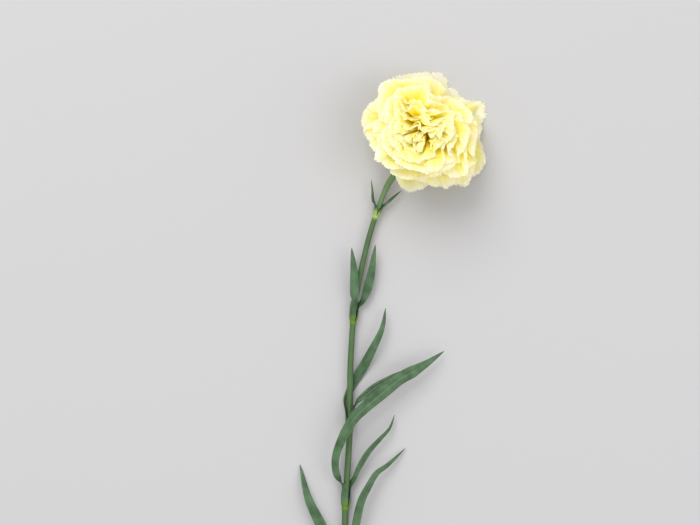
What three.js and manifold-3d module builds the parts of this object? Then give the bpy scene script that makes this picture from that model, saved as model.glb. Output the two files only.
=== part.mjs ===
// A cut carnation lying on a flat surface, in millimetres, +Z up.
// The stem runs along Y, from the cut end at -Y to the flower head at +Y. The head's neck bends up, so the
// face of the flower looks up and away from the stem. The surface is the plane z = 0, and the origin is on
// it, under the middle of the whole flower's bounding box.
import * as THREE from "three";
import { mergeVertices } from "three/addons/utils/BufferGeometryUtils.js";
import Module from "manifold-3d";

const wasm = await Module();
wasm.setup();

const degrees = Math.PI / 180;
const gap = 0.3; // between pieces that touch on the real flower

// ---------------------------------------------------------------- driving dimensions

// Puts the middle of the laid flower's bounding box over the origin.
const laidAt = new THREE.Vector3(-13.1, -0.2, 0);

const calyxRise = 32 * degrees; // how far the neck lifts the calyx from the surface
const bloomRise = 60 * degrees; // the surface pushes the far petals up, so the bloom's face looks up more
const headLean = 34 * degrees; // the head points from +Y towards +X, seen from above

const stem = {
  topRadius: 1.6,
  cutRadius: 2.2,
  neckWidening: 0.4, // how much thicker than that it grows again above its last joint, up to the calyx
  jointSwell: 0.2, // how much wider a joint is than the stem beside it, as a share
  jointHalfLength: 2.4,
  sheathInset: 0.1, // how much thinner the stem stays inside the leaves' sheaths, as a share
  sheathInsetEnds: [0.5, 1.8, 14, 20], // above the middle of a joint: it starts, is whole, and ends again
  cutSlant: 0.7, // how far the cut end slants, for each millimetre across it
  sides: 10,
  steps: 30,
};

// The middle line of the stem: from the cut end up to the neck, which bends up under the calyx.
const neckTop = new THREE.Vector3(15.4, 140.0, 8.0);
const stemPath = new THREE.CatmullRomCurve3([
  new THREE.Vector3(-13, -200, 2.2),
  new THREE.Vector3(-15.4, -156, 3.2),
  new THREE.Vector3(-16.6, -112, 4.2),
  new THREE.Vector3(-16.0, -64, 4.2),
  new THREE.Vector3(-13.4, -17, 4.2),
  new THREE.Vector3(-12.8, 26, 4.2),
  new THREE.Vector3(-9.8, 62, 4.1),
  new THREE.Vector3(-4.2, 90, 4.0),
  new THREE.Vector3(2.2, 112.6, 4.1),
  neckTop.clone().addScaledVector(headDirection(calyxRise), -12).setZ(4.5),
  neckTop,
]);

// How far along Y each swollen joint of the stem is, from the flower down.
const joints = { 1: 112.6, 2: 48.4, 3: -17, 4: -64, 5: -112, 6: -158 };

const calyx = {
  length: 27, // from the stem to the notches between its teeth
  baseRadius: 3.4,
  bellyRadius: 6.6,
  mouthRadius: 7.2,
  wall: 0.9,
  floor: 5,
  teeth: 5,
  toothLength: 5,
  toothFlare: 1.5,
  sides: 30,
  outerRows: [3, 7, 13, 20],
  innerRows: [20, 13],
};

const bracts = {
  count: 4,
  length: 9.5,
  notch: 3,
  thickness: 0.8,
  tipFlare: 0.9,
  sides: 32,
  rows: [0.2, 1.6],
};

const bloom = {
  petals: 36,
  wholePetals: 24, // the outer ones, whose edges are cut into twice as many teeth
  seed: 23,
  goldenAngle: 137.508 * degrees,
  thickness: 0.7,
  rootRadius: 5.6, // the ring of claws at the mouth of the calyx
  outerAngle: 106 * degrees, // from the flower's axis to the outermost petals
  innerAngle: -2 * degrees,
  tilt: 14 * degrees, // how much the angles of the petals differ
  outerLength: 39.6,
  innerLength: 34,
  outerHalfWidth: 23,
  innerHalfWidth: 15,
  outerBend: 8, // radius of the bend over the calyx mouth
  innerBend: 30,
  reflex: 0.014, // how much more an outer petal turns back, in radians for each millimetre
  ruffle: 4.2, // how far the edge of an outer petal waves to either side
  flare: 0.9, // how far an inner petal opens again towards its edge, in radians, over flareLength
  flareLength: 30,
  sway: [[2.6, 6.2], [0.8, 2.9]], // waves through the whole head: how far, and the length of a radian
  nod: new THREE.Vector3(-14, -21, 0), // how far the middle of the head nods towards the stem, at nodHeight
  nodHeight: 34,
  droop: 17.5, // how far its own weight bends the tip of an outermost petal down
  tooth: 1.9,
};

// The packed claws: the plug in the calyx, and the radius and height of the dome above its mouth.
const claws = {
  plugRows: [13, 20],
  plugTop: 3,
  dome: [[0, -3], [4.6, -1], [5.8, 3], [9, 7], [9, 11], [6, 15], [0, 17]],
  sides: 16,
};

// ---------------------------------------------------------------- solids from grids of points

// A repeatable random share from 0 to 1 for whole number k.
function draw(k) {
  const wide = Math.sin(k * 12.9898 + bloom.seed * 78.233) * 43758.5453;
  return wide - Math.floor(wide);
}

function mix(a, b, share) {
  return a + (b - a) * share;
}

function easeInOut(share) {
  const s = Math.min(1, Math.max(0, share));
  return s * s * (3 - 2 * s);
}

function geometryOf(points, triangles) {
  const flat = new Float32Array(points.flatMap((p) => [p.x, p.y, p.z]));
  return new THREE.BufferGeometry()
    .setAttribute("position", new THREE.BufferAttribute(flat, 3))
    .setIndex(triangles.flat());
}

function solidOf(geometry) {
  const bare = geometry.clone();
  bare.deleteAttribute("normal");
  bare.deleteAttribute("uv");
  const merged = mergeVertices(bare, 1e-4);
  return new wasm.Manifold(
    new wasm.Mesh({
      numProp: 3,
      vertProperties: new Float32Array(merged.attributes.position.array),
      triVerts: new Uint32Array(merged.index.array),
    }),
  );
}

function geometryOfSolid(solid) {
  const mesh = solid.getMesh();
  const points = new Float32Array(mesh.numVert * 3);
  for (let i = 0; i < mesh.numVert; i++) {
    points.set(mesh.vertProperties.subarray(i * mesh.numProp, i * mesh.numProp + 3), i * 3);
  }
  return new THREE.BufferGeometry()
    .setAttribute("position", new THREE.BufferAttribute(points, 3))
    .setIndex(new THREE.BufferAttribute(mesh.triVerts, 1));
}

// Joins solids into one body. A loose scrap is dropped and a hollow that the joining seals is filled.
function fuse(solids) {
  const bodies = wasm.Manifold.union(solids).decompose();
  return bodies.reduce((best, body) => (body.volume() > best.volume() ? body : best));
}

// Turns a closed surface inside out if its faces point in.
function facingOut(geometry) {
  const at = geometry.getAttribute("position");
  const order = geometry.index.array;
  const corner = (k) => new THREE.Vector3().fromBufferAttribute(at, order[k]);
  let volume = 0;
  for (let k = 0; k < order.length; k += 3) {
    volume += corner(k).dot(corner(k + 1).cross(corner(k + 2)));
  }
  return volume < 0 ? geometry.setIndex([...order].reverse()) : geometry;
}

// Closed skin over rings of points, each with the same even number of points. Both ends get a cap of strips
// from side to side, which also fits a ring shaped like a C, or the last ring is joined to the first.
function skin(rings, isHoop = false) {
  const n = rings[0].length;
  const points = rings.flat();
  const triangles = [];
  for (let r = 0; r + (isHoop ? 0 : 1) < rings.length; r++) {
    const next = ((r + 1) % rings.length) * n;
    for (let k = 0; k < n; k++) {
      const a = r * n + k;
      const b = r * n + ((k + 1) % n);
      const c = next + ((k + 1) % n);
      triangles.push([a, b, c], [a, c, next + k]);
    }
  }
  const last = (rings.length - 1) * n;
  for (let k = 0; !isHoop && k + 1 < n / 2; k++) {
    const a = n - 1 - k;
    triangles.push([k, a - 1, k + 1], [k, a, a - 1]);
    triangles.push([last + k, last + k + 1, last + a - 1], [last + k, last + a - 1, last + a]);
  }
  return facingOut(geometryOf(points, triangles));
}

// ---------------------------------------------------------------- the stem

function headDirection(rise) {
  return new THREE.Vector3(
    Math.cos(rise) * Math.sin(headLean),
    Math.cos(rise) * Math.cos(headLean),
    Math.sin(rise),
  );
}

// The stem's own directions at a share of its length: along it, to its right and up from the surface.
function stemFrame(share) {
  const at = stemPath.getPointAt(share);
  const along = stemPath.getTangentAt(share);
  const right = new THREE.Vector3().crossVectors(along, new THREE.Vector3(0, 0, 1)).normalize();
  const up = new THREE.Vector3().crossVectors(right, along);
  return { at, along, right, up };
}

const stemLength = stemPath.getLength();

// The share of the stem's length at which it is y along Y. It never turns back, so halving finds it.
function shareAt(y) {
  let low = 0;
  let high = 1;
  for (let k = 0; k < 30; k++) {
    const middle = (low + high) / 2;
    if (stemPath.getPointAt(middle).y < y) {
      low = middle;
    } else {
      high = middle;
    }
  }
  return low;
}

const jointShares = Object.fromEntries(Object.entries(joints).map(([name, y]) => [name, shareAt(y)]));

// The stem swells at each joint and stays a little thinner inside the sheaths above it.
function stemRadius(share) {
  const [starts, isWhole, fades, ends] = stem.sheathInsetEnds;
  let swell = 0;
  let inset = 0;
  for (const joint of Object.values(jointShares)) {
    const above = (share - joint) * stemLength;
    const off = Math.abs(above) / stem.jointHalfLength;
    swell = Math.max(swell, off < 1 ? Math.cos((off * Math.PI) / 2) ** 2 : 0);
    const inSheath = easeInOut((above - starts) / (isWhole - starts));
    inset = Math.max(inset, inSheath * (1 - easeInOut((above - fades) / (ends - fades))));
  }
  const onNeck = easeInOut((share - jointShares[1]) / (1 - jointShares[1]));
  const plain = mix(stem.cutRadius, stem.topRadius, share) + stem.neckWidening * onNeck;
  return plain * (1 + stem.jointSwell * swell) * (1 - stem.sheathInset * inset);
}

// Even steps along the stem, with more of them over each joint and its sheaths.
function stemShares() {
  const shares = Array.from({ length: stem.steps + 1 }, (_, k) => k / stem.steps);
  const half = stem.jointHalfLength / stemLength;
  const inset = stem.sheathInsetEnds.map((end) => end / stemLength);
  for (const joint of Object.values(jointShares)) {
    shares.push(...[-1, -0.5, 0, 0.5, 0.75, 1].map((off) => joint + off * half));
    shares.push(joint + inset[2], joint + inset[3]);
  }
  shares.sort((a, b) => a - b);
  return shares.filter((share, k) => k === 0 || share - shares[k - 1] > 0.2 * half);
}

function stemGeometry() {
  const rings = stemShares().map((share) => {
    const { at, along, right, up } = stemFrame(share);
    const radius = stemRadius(share);
    return Array.from({ length: stem.sides }, (_, k) => {
      const turn = (k / stem.sides) * 2 * Math.PI;
      const slant = share === 0 ? stem.cutSlant * radius * Math.cos(turn) : 0;
      return at
        .clone()
        .addScaledVector(right, radius * Math.cos(turn))
        .addScaledVector(up, radius * Math.sin(turn))
        .addScaledVector(along, slant);
    });
  });
  return skin(rings);
}

// ---------------------------------------------------------------- leaves

const leaf = {
  thickness: 0.7,
  sheathTurn: 164 * degrees,
  bladeBend: 50 * degrees,
  stations: 14,
  across: 4,
  waist: 0.85, // the width above the sheath, as a share of the greatest width
  taper: 2.2, // how far up it is as narrow as that, in lengths of its sheath
  widest: 0.35, // how far past the sheath it is at its widest, as a share of its length
  shoulder: 0.42, // where its long point starts
  point: 1.5, // below 1 it narrows at once, above 1 more and more
  narrowest: 0.9,
};

// Each leaf's joint, the side of the stem that it grows on (0 right, 90 up, in degrees), its greatest width,
// the length of its sheath on the stem, how far its face is turned from level at its tip (in degrees),
// whether its hollow face ends up (1, as in most) or down (-1), and the points that its middle line passes
// after the sheath.
const leaves = [
  {
    name: "leaf_1_left", joint: 1, side: 165, width: 1.9, sheath: 4, tilt: 35,
    points: [[0.7, 122, 5.0], [0.3, 128, 4.8], [-0.3, 134.8, 3.6]],
  },
  {
    name: "leaf_1_right", joint: 1, side: -15, width: 2.4, sheath: 5, tilt: -30, taper: 1.8,
    points: [[9.4, 120.6, 4.3], [13.4, 124.4, 3.4], [18.2, 128.4, 2.0]],
  },
  {
    name: "leaf_2_left", joint: 2, side: 145, width: 6.0, sheath: 8, tilt: 8, hollow: -1,
    points: [[-10.9, 63, 8.3], [-10.5, 76, 9.4], [-12.2, 93.6, 8.0]],
  },
  {
    name: "leaf_2_right", joint: 2, side: -35, width: 6.0, sheath: 8, tilt: -10, waist: 0.6, taper: 1.3,
    points: [[-5.2, 61.4, 3.8], [-0.8, 76, 4.8], [2.2, 95.4, 5.8]],
  },
  {
    name: "leaf_3_right", joint: 3, side: 30, width: 4.6, sheath: 11, tilt: -10,
    points: [[-8.6, -0.6, 6.2], [-0.6, 7.6, 7.0], [11.4, 14.8, 5.8], [20, 18.6, 3.8], [27.5, 21, 1.6]],
  },
  {
    name: "leaf_3_under", joint: 3, side: 210, width: 6.4, sheath: 9, tilt: 6, waist: 0.6, widest: 0.45,
    points: [
      [-15.6, 1, 0.6], [-11.8, 10, 0.3], [-6.0, 20, 1.4], [0.8, 33, 5.8], [6.2, 45, 6.4], [8.4, 57, 4],
    ],
  },
  {
    name: "leaf_4_left", joint: 4, side: 140, width: 7.8, sheath: 11, tilt: 10,
    waist: 0.55, widest: 0.6, shoulder: 0.82, point: 0.7,
    points: [
      [-21, -45, 8.6], [-22, -34, 11.2], [-17.6, -20.6, 13.2], [-11, -9.4, 13.4], [-4.5, -2.7, 13.2],
      [7.2, 7, 12.6], [16.8, 14.8, 11.4], [25.8, 19.6, 9.8], [33.6, 24.1, 8], [43.8, 31, 5.4],
    ],
  },
  {
    name: "leaf_4_right", joint: 4, side: -40, width: 3.8, sheath: 11, tilt: -14, waist: 0.8, taper: 1.6,
    points: [
      [-10.8, -47, 3.2], [-7.2, -38.6, 4.4], [-1.2, -29, 5.6], [5.4, -21.8, 6], [10.8, -15.8, 4.6],
      [13.8, -7.8, 2.2],
    ],
  },
  {
    name: "leaf_5_right", joint: 5, side: 20, width: 5.4, sheath: 12, tilt: -18, waist: 0.75, taper: 1.4,
    points: [
      [-11.8, -90, 7.4], [-9.4, -72.8, 9], [-6.1, -59, 8.8], [-1.5, -50, 8.2], [3, -42.8, 7],
      [9.6, -38, 5], [20.4, -28.1, 1.2],
    ],
  },
  {
    name: "leaf_5_left", joint: 5, side: 200, width: 7.0, sheath: 12, tilt: 16, waist: 0.65, taper: 1.4,
    points: [[-23.6, -91, 4.4], [-31, -74, 6.2], [-38.6, -58, 5.0], [-43.6, -38, 0.6]],
  },
];

// The sheath starts just above the swelling of the joint.
const sheathStart = 1.8;

// The outer radius of a sheath, whose flat facets stay clear of the stem.
function sheathRadius(joint) {
  const inside = stemRadius(joint + sheathStart / stemLength) + gap;
  return inside / Math.cos(leaf.sheathTurn / leaf.across / 2) + leaf.thickness;
}

function leafPath(shape) {
  const joint = jointShares[shape.joint];
  const turn = shape.side * degrees;
  const clear = sheathRadius(joint);
  const onStem = [0, 0.5, 1].map((part) => {
    const { at, right, up } = stemFrame(joint + (sheathStart + part * shape.sheath) / stemLength);
    const aside = at.clone().addScaledVector(right, clear * Math.cos(turn));
    return aside.addScaledVector(up, clear * Math.sin(turn));
  });
  const free = shape.points.map((p) => new THREE.Vector3(...p));
  return new THREE.CatmullRomCurve3([...onStem, ...free], false, "centripetal");
}

// A leaf's width along its length: the sheath, a waist, the full width and a long point.
function leafWidth(shape, share, sheathShare, sheathWidth) {
  const { width, waist, taper, widest, shoulder, point, narrowest } = { ...leaf, ...shape };
  const foot = mix(sheathWidth, width * waist, easeInOut(share / (sheathShare * taper)));
  const belly = mix(foot, width, easeInOut((share - sheathShare) / widest));
  const pastShoulder = Math.max(0, (share - shoulder) / (1 - shoulder));
  return Math.max(narrowest, belly * Math.max(0, 1 - pastShoulder ** point) ** 0.7);
}

// One leaf's channelled blade as a closed skin. It wraps the stem as a sheath, then opens and turns its
// hollow face up or down.
function leafGeometry(shape) {
  const path = leafPath(shape);
  const sheathShare = shape.sheath / path.getLength();
  const turn = shape.side * degrees;
  const hollowFaces = shape.hollow ?? 1;
  const joint = jointShares[shape.joint];
  const base = stemFrame(joint);
  const outer = sheathRadius(joint);
  const towardsStem = base.right
    .clone()
    .multiplyScalar(-Math.cos(turn))
    .addScaledVector(base.up, -Math.sin(turn));
  const rings = [];
  for (let k = 0; k <= leaf.stations; k++) {
    const share = Math.min(1, (k / leaf.stations) ** 1.15);
    const open = easeInOut((share - sheathShare * 0.6) / (sheathShare * 1.8));
    const along = path.getTangentAt(share);
    const face = towardsStem.clone().lerp(new THREE.Vector3(0, 0, hollowFaces), open);
    face.applyAxisAngle(along, shape.tilt * easeInOut(share) * degrees);
    face.addScaledVector(along, -face.dot(along)).normalize();
    const across = new THREE.Vector3().crossVectors(along, face);
    const width = leafWidth(shape, share, sheathShare, leaf.sheathTurn * outer);
    const bend = Math.min(width / outer, mix(leaf.sheathTurn, leaf.bladeBend, open));
    const radius = width / bend;
    const centre = path.getPointAt(share).addScaledVector(face, radius);
    const thickness = leaf.thickness * mix(1, 0.8, share);
    const edge = (r, from, to) =>
      Array.from({ length: leaf.across + 1 }, (_, j) => {
        const angle = bend * (mix(from, to, j / leaf.across) - 0.5);
        const point = centre.clone().addScaledVector(face, -r * Math.cos(angle));
        return point.addScaledVector(across, r * Math.sin(angle));
      });
    const underside = edge(radius, 0, 1);
    const hollow = edge(radius - thickness, 1, 0);
    underside.forEach((point, j) => {
      point.z = Math.max(point.z, 0);
      const above = hollow[leaf.across - j];
      above.z = Math.max(above.z, face.z > 0 ? point.z + 0.3 * thickness * face.z : 0);
    });
    rings.push([...underside, ...hollow]);
  }
  return skin(rings);
}

// ---------------------------------------------------------------- the flower head's directions

function headFrame(at, rise) {
  const z = headDirection(rise);
  const x = new THREE.Vector3().crossVectors(z, new THREE.Vector3(0, 0, 1)).normalize();
  const y = new THREE.Vector3().crossVectors(z, x);
  return new THREE.Matrix4().makeBasis(x, y, z).setPosition(at);
}

const calyxBase = neckTop.clone().addScaledVector(headDirection(calyxRise), 2 * gap);
const calyxFrame = headFrame(calyxBase, calyxRise);
const mouth = calyxBase.clone().addScaledVector(headDirection(calyxRise), calyx.length + 2);
const bloomFrame = headFrame(mouth, bloomRise);

// ---------------------------------------------------------------- the calyx and its bracts

function calyxRadius(height) {
  const share = height / calyx.length;
  const swell = Math.sin(Math.min(1, share * 1.9) * 90 * degrees);
  const belly = mix(calyx.baseRadius, calyx.bellyRadius, swell);
  return mix(belly, calyx.mouthRadius, easeInOut((share - 0.5) / 0.5));
}

// A rim's height round the axis: notches at 0, points at 1.
function pointedRim(turnShare, points, sharpness) {
  return Math.abs(((turnShare * points) % 1) - 0.5) ** sharpness * 2 ** sharpness;
}

function polar(radius, turnShare, height) {
  const turn = turnShare * 2 * Math.PI;
  return new THREE.Vector3(radius * Math.cos(turn), radius * Math.sin(turn), height);
}

function calyxRing(height, inset, isRim) {
  return Array.from({ length: calyx.sides }, (_, k) => {
    const share = k / calyx.sides;
    const tooth = isRim ? pointedRim(share, calyx.teeth, 1.2) : 0;
    const radius = calyxRadius(height) + calyx.toothFlare * tooth - inset;
    return polar(radius, share, height + calyx.toothLength * tooth);
  });
}

// The toothed tube. With room to spare it is that much thicker all over.
function calyxTube(spare) {
  const outer = [-spare, ...calyx.outerRows].map((height) => calyxRing(height, -spare, false));
  const rim = [-spare, calyx.wall + spare].map((inset) => calyxRing(calyx.length + spare, inset, true));
  const innerRows = [...calyx.innerRows, calyx.floor - spare];
  const inner = innerRows.map((height) => calyxRing(height, calyx.wall + spare, false));
  return skin([...outer, ...rim, ...inner]).applyMatrix4(calyxFrame);
}

// Broad pointed bracts, pressed round the base of the calyx and grown together at their feet.
function bractsGeometry() {
  const ring = (height, inset, isRim) =>
    Array.from({ length: bracts.sides }, (_, k) => {
      const share = k / bracts.sides;
      const point = isRim ? pointedRim(share + 0.5 / bracts.count, bracts.count, 0.8) : 0;
      const top = mix(height, bracts.length, point);
      const radius = calyxRadius(top) + gap + 0.1 + inset + bracts.tipFlare * point ** 2;
      return polar(radius, share, top);
    });
  const outer = bracts.rows.map((height) => ring(height, bracts.thickness, false));
  const rim = [bracts.thickness, 0].map((inset) => ring(bracts.notch, inset, true));
  const inner = bracts.rows.toReversed().map((height) => ring(height, 0, false));
  return skin([...outer, ...rim, ...inner], true).applyMatrix4(calyxFrame);
}

// ---------------------------------------------------------------- the bloom

// One petal's place in the head: layer 0 is the outermost, 1 the innermost.
function petalOf(k) {
  const layer = (k + 0.5) / bloom.petals;
  return {
    layer,
    isWhole: k < bloom.wholePetals,
    turn: k * bloom.goldenAngle + (draw(k) - 0.5) * 0.35,
    length: mix(bloom.outerLength, bloom.innerLength, layer) * mix(0.93, 1.06, draw(k + 100)),
    halfWidth: mix(bloom.outerHalfWidth, bloom.innerHalfWidth, layer) * mix(0.9, 1.1, draw(k + 200)),
    tilt: (draw(k + 300) - 0.5) * bloom.tilt,
  };
}

// The shared ruffle of all petals at a turn round the axis, so that neighbours nest as pressed petals do.
function ruffleAt(turn, layer) {
  const coarse = Math.sin(8 * turn + 5.2 * layer + 0.6) * mix(0.4, 0.75, layer);
  const middle = Math.sin(13 * turn - 7.4 * layer + 1.9) * mix(0.6, 0.15, layer);
  const fine = Math.sin(21 * turn + 9.1 * layer + 4.1) * mix(0.4, 0, layer);
  return coarse + middle + fine;
}

// A petal's middle line at distance s from its claw: its radius and height in the head, and how far it
// leans out there. It leaves the claw upwards and bends over the rim of the calyx. Then an outer petal turns
// back, and an inner one stands and opens towards its edge.
function petalLine(p, s) {
  const outerShare = 1 - p.layer;
  const startAngle = 0.1 * outerShare;
  const bendAngle = mix(bloom.outerAngle, bloom.innerAngle, p.layer ** 0.85) + p.tilt;
  const bendRadius = mix(bloom.outerBend, bloom.innerBend, p.layer);
  const bent = Math.min(s, bendRadius * Math.max(0, bendAngle - startAngle));
  const angle = startAngle + bent / bendRadius;
  const rest = s - bent;
  const turnedBack = bloom.reflex * outerShare ** 2 * rest;
  const opens = (1 - outerShare ** 2) * (1 - 0.8 * p.layer ** 6);
  const flare = bloom.flare * opens * (rest / bloom.flareLength) ** 2;
  const halfWay = angle + turnedBack / 2 + flare * 0.34;
  const root = bloom.rootRadius * outerShare ** 0.7 + 0.6;
  return {
    radius: root + bendRadius * (Math.cos(startAngle) - Math.cos(angle)) + rest * Math.sin(halfWay),
    height: bendRadius * (Math.sin(angle) - Math.sin(startAngle)) + rest * Math.cos(halfWay),
    lean: angle + turnedBack + flare,
  };
}

// Slow waves through the whole head, which all petals share, so that no ring of them stays a true circle.
function swayed(x, y, z, share) {
  const wave = (first, second, slip, length, shift) => Math.sin((second * slip + first) / length + shift);
  const [[slow, slowLength], [fine, fineLength]] = bloom.sway;
  const shifted = (own, first, second, shift, fineShift) =>
    own +
    share * slow * wave(first, second, 0.7, slowLength, shift) +
    share * fine * wave(first, second, -0.6, fineLength, fineShift);
  return new THREE.Vector3(
    shifted(x, y, z, 0.7, 2.1),
    shifted(y, x, z, 2.9, 4.4),
    shifted(z, x, y, 1.1, 5.2),
  );
}

// The point of petal p at u from -1 to 1 across it and v from 0 at its claw to 1 at its edge.
function petalPoint(p, u, v, tooth) {
  const line = petalLine(p, p.length * v * (1 - 0.16 * u * u * v) - tooth);
  const fan = 0.12 + 0.88 * Math.sin(Math.min(1, v * 1.15) * 90 * degrees);
  const turn = p.turn + (p.halfWidth * u * fan) / Math.hypot(line.radius, 7);
  const wave = bloom.ruffle * v ** 1.6 * ruffleAt(turn, p.layer) * mix(1, 0.6, p.layer);
  const radius = line.radius + wave * Math.cos(line.lean);
  const height = line.height - wave * Math.sin(line.lean);
  return swayed(radius * Math.cos(turn), radius * Math.sin(turn), height, Math.min(1, v * 1.8));
}

const halfPetal = bloom.thickness / 2;

// Places a petal's point in the laid flower. The middle of the head nods, its own weight bends an outer petal
// down, and what would pass below the surface is laid along it, outwards.
function laid(point, layer) {
  const placed = point.clone().applyMatrix4(bloomFrame);
  placed.addScaledVector(bloom.nod, (Math.max(0, point.z) / bloom.nodHeight) ** 2);
  const reach = Math.min(1, placed.distanceTo(mouth) / bloom.outerLength);
  placed.z -= bloom.droop * (1 - layer) ** 2 * reach ** 2;
  const under = Math.max(0, halfPetal - placed.z);
  const outwards = placed.clone().sub(mouth).setZ(0).normalize();
  placed.addScaledVector(outwards, under);
  placed.z += under;
  return placed;
}

function isPressed(point) {
  return point.z <= halfPetal + 1e-6;
}

// Rows of points over one petal, each the distance from its claw as a share and the number of cells. The last
// row is cut into teeth, and a petal whose edge is pressed on the surface has one row more.
function petalRows(p) {
  const tip = laid(petalPoint(p, 0, 1, 0), p.layer);
  const short = [[0.15, 2], [0.6, 4], [1, 8]];
  const whole = [[0.1, 2], [0.42, 4], [0.72, 8], [1, 16]];
  const pressed = [[0.1, 2], [0.42, 4], [0.7, 8], [0.86, 16], [1, 16]];
  const free = p.isWhole ? whole : short;
  const rows = isPressed(tip) ? pressed : free;
  return rows.map(([v, cells], r) =>
    Array.from({ length: cells + 1 }, (_, k) => {
      const isNotch = r === rows.length - 1 && k % 2 === 0;
      const point = petalPoint(p, (2 * k) / cells - 1, v, isNotch ? bloom.tooth : 0);
      return laid(point, p.layer);
    }),
  );
}

// Triangles between two rows, the second with as many cells as the first or twice as many.
function stripFaces(first, second, cells, isDoubled) {
  const faces = [];
  for (let c = 0; c < cells; c++) {
    const a = first + c;
    const b = second + c * (isDoubled ? 2 : 1);
    faces.push([a, b + 1, b], [a, a + 1, b + 1]);
    if (isDoubled) {
      faces.push([a + 1, b + 2, b + 1]);
    }
  }
  return faces;
}

// The points of a petal's two faces, on either side of its middle sheet.
function petalFacePoints(middle, normals, side) {
  return middle.map((point, k) => {
    const normal = new THREE.Vector3().fromBufferAttribute(normals, k).multiplyScalar(side);
    if (isPressed(point)) {
      normal.set(0, 0, Math.sign(normal.z));
    }
    const moved = point.clone().addScaledVector(normal, halfPetal);
    moved.z = Math.max(moved.z, 0);
    return moved;
  });
}

function petalGeometry(k) {
  const p = petalOf(k);
  const rows = petalRows(p);
  const middle = rows.flat();
  const starts = rows.map((_, r) => rows.slice(0, r).flat().length);
  const faces = rows.slice(1).flatMap((row, r) => {
    const cells = rows[r].length - 1;
    return stripFaces(starts[r], starts[r + 1], cells, row.length - 1 > cells);
  });
  const sheet = geometryOf(middle, faces);
  sheet.computeVertexNormals();
  const normals = sheet.getAttribute("normal");
  const points = [...petalFacePoints(middle, normals, 1), ...petalFacePoints(middle, normals, -1)];
  const n = middle.length;
  const triangles = [...faces, ...faces.map(([a, b, c]) => [a + n, c + n, b + n])];
  const last = rows.length - 1;
  const rim = [
    ...rows[0].map((_, c) => c),
    ...rows.slice(1, last).map((row, r) => starts[r + 1] + row.length - 1),
    ...rows[last].map((_, c) => starts[last] + c).reverse(),
    ...rows.slice(1, last).map((_, r) => starts[r + 1]).reverse(),
  ];
  rim.forEach((a, k2) => {
    const b = rim[(k2 + 1) % rim.length];
    triangles.push([b, a, a + n], [b, a + n, b + n]);
  });
  return geometryOf(points, triangles);
}

// The packed claws: a plug inside the calyx, and the small dome that the petals stand out of.
function coreSolids() {
  const clear = calyx.wall + gap + 0.1;
  const plugHeights = [calyx.floor + gap, ...claws.plugRows, calyx.length];
  const plugProfile = [
    new THREE.Vector2(0, calyx.floor + gap),
    ...plugHeights.map((height) => new THREE.Vector2(calyxRadius(height) - clear, height)),
    new THREE.Vector2(0, calyx.length + claws.plugTop),
  ];
  const domeProfile = claws.dome.map(([radius, height]) => new THREE.Vector2(radius, height));
  const plug = new THREE.LatheGeometry(plugProfile, claws.sides);
  const dome = new THREE.LatheGeometry(domeProfile, claws.sides);
  return [
    solidOf(plug.rotateX(90 * degrees).applyMatrix4(calyxFrame)),
    solidOf(dome.rotateX(90 * degrees).applyMatrix4(bloomFrame)),
  ];
}

function bloomGeometry() {
  const petals = Array.from({ length: bloom.petals }, (_, k) => solidOf(petalGeometry(k)));
  const clearOfCalyx = fuse([...petals, ...coreSolids()]).subtract(solidOf(calyxTube(1.5 * gap)));
  return geometryOfSolid(fuse([clearOfCalyx]));
}

// ---------------------------------------------------------------- materials and the assembly

const petalYellow = new THREE.MeshStandardMaterial({ color: 0xf8f0a0, roughness: 0.7, metalness: 0 });
const stemGreen = new THREE.MeshStandardMaterial({ color: 0x5f8050, roughness: 0.6, metalness: 0 });
const leafGreen = new THREE.MeshStandardMaterial({ color: 0x69856a, roughness: 0.65, metalness: 0 });
const calyxGreen = new THREE.MeshStandardMaterial({ color: 0x7c9a5c, roughness: 0.55, metalness: 0 });

function piece(name, geometry, material) {
  const mesh = new THREE.Mesh(geometry, material);
  mesh.name = name;
  return mesh;
}

const carnation = new THREE.Group();
carnation.position.copy(laidAt);
carnation.add(piece("stem", stemGeometry(), stemGreen));
carnation.add(piece("calyx", calyxTube(0), calyxGreen));
carnation.add(piece("epicalyx_bracts", bractsGeometry(), calyxGreen));
carnation.add(piece("bloom", bloomGeometry(), petalYellow));
for (const shape of leaves) {
  carnation.add(piece(shape.name, leafGeometry(shape), leafGreen));
}

export default carnation;
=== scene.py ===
import math

import bpy
import numpy as np
from mathutils import Matrix, Vector


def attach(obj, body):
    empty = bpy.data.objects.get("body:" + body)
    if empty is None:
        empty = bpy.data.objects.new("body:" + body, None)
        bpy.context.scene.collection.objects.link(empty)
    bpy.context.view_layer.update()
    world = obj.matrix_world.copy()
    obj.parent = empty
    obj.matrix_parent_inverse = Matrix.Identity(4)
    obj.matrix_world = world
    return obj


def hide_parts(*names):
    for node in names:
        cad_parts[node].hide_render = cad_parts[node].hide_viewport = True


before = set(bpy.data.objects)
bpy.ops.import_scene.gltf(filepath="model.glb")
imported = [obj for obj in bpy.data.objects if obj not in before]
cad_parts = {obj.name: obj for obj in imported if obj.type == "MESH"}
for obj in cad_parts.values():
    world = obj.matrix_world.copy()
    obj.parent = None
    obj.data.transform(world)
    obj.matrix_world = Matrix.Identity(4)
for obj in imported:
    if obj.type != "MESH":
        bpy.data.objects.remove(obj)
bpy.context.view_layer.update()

# ================================================================ the stem
# One green tube that grew as a single shoot, with a swollen joint under each pair of leaves. Its skin carries
# a pale wax, and a knife left a slanting cut at its foot. It lies along Y and its neck bends up to the bloom.

mm = 0.001
laid_at = np.array([-13.1, -0.2, 0.0])  # puts the middle of the laid flower over the origin, in mm
up = np.array([0.0, 0.0, 1.0])

calyx_rise = math.radians(32)
head_lean = math.radians(34)


def head_direction(rise):
    """The way that the head points when it rises so far from the surface."""
    level = math.cos(rise)
    return np.array([level * math.sin(head_lean), level * math.cos(head_lean), math.sin(rise)])


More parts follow.
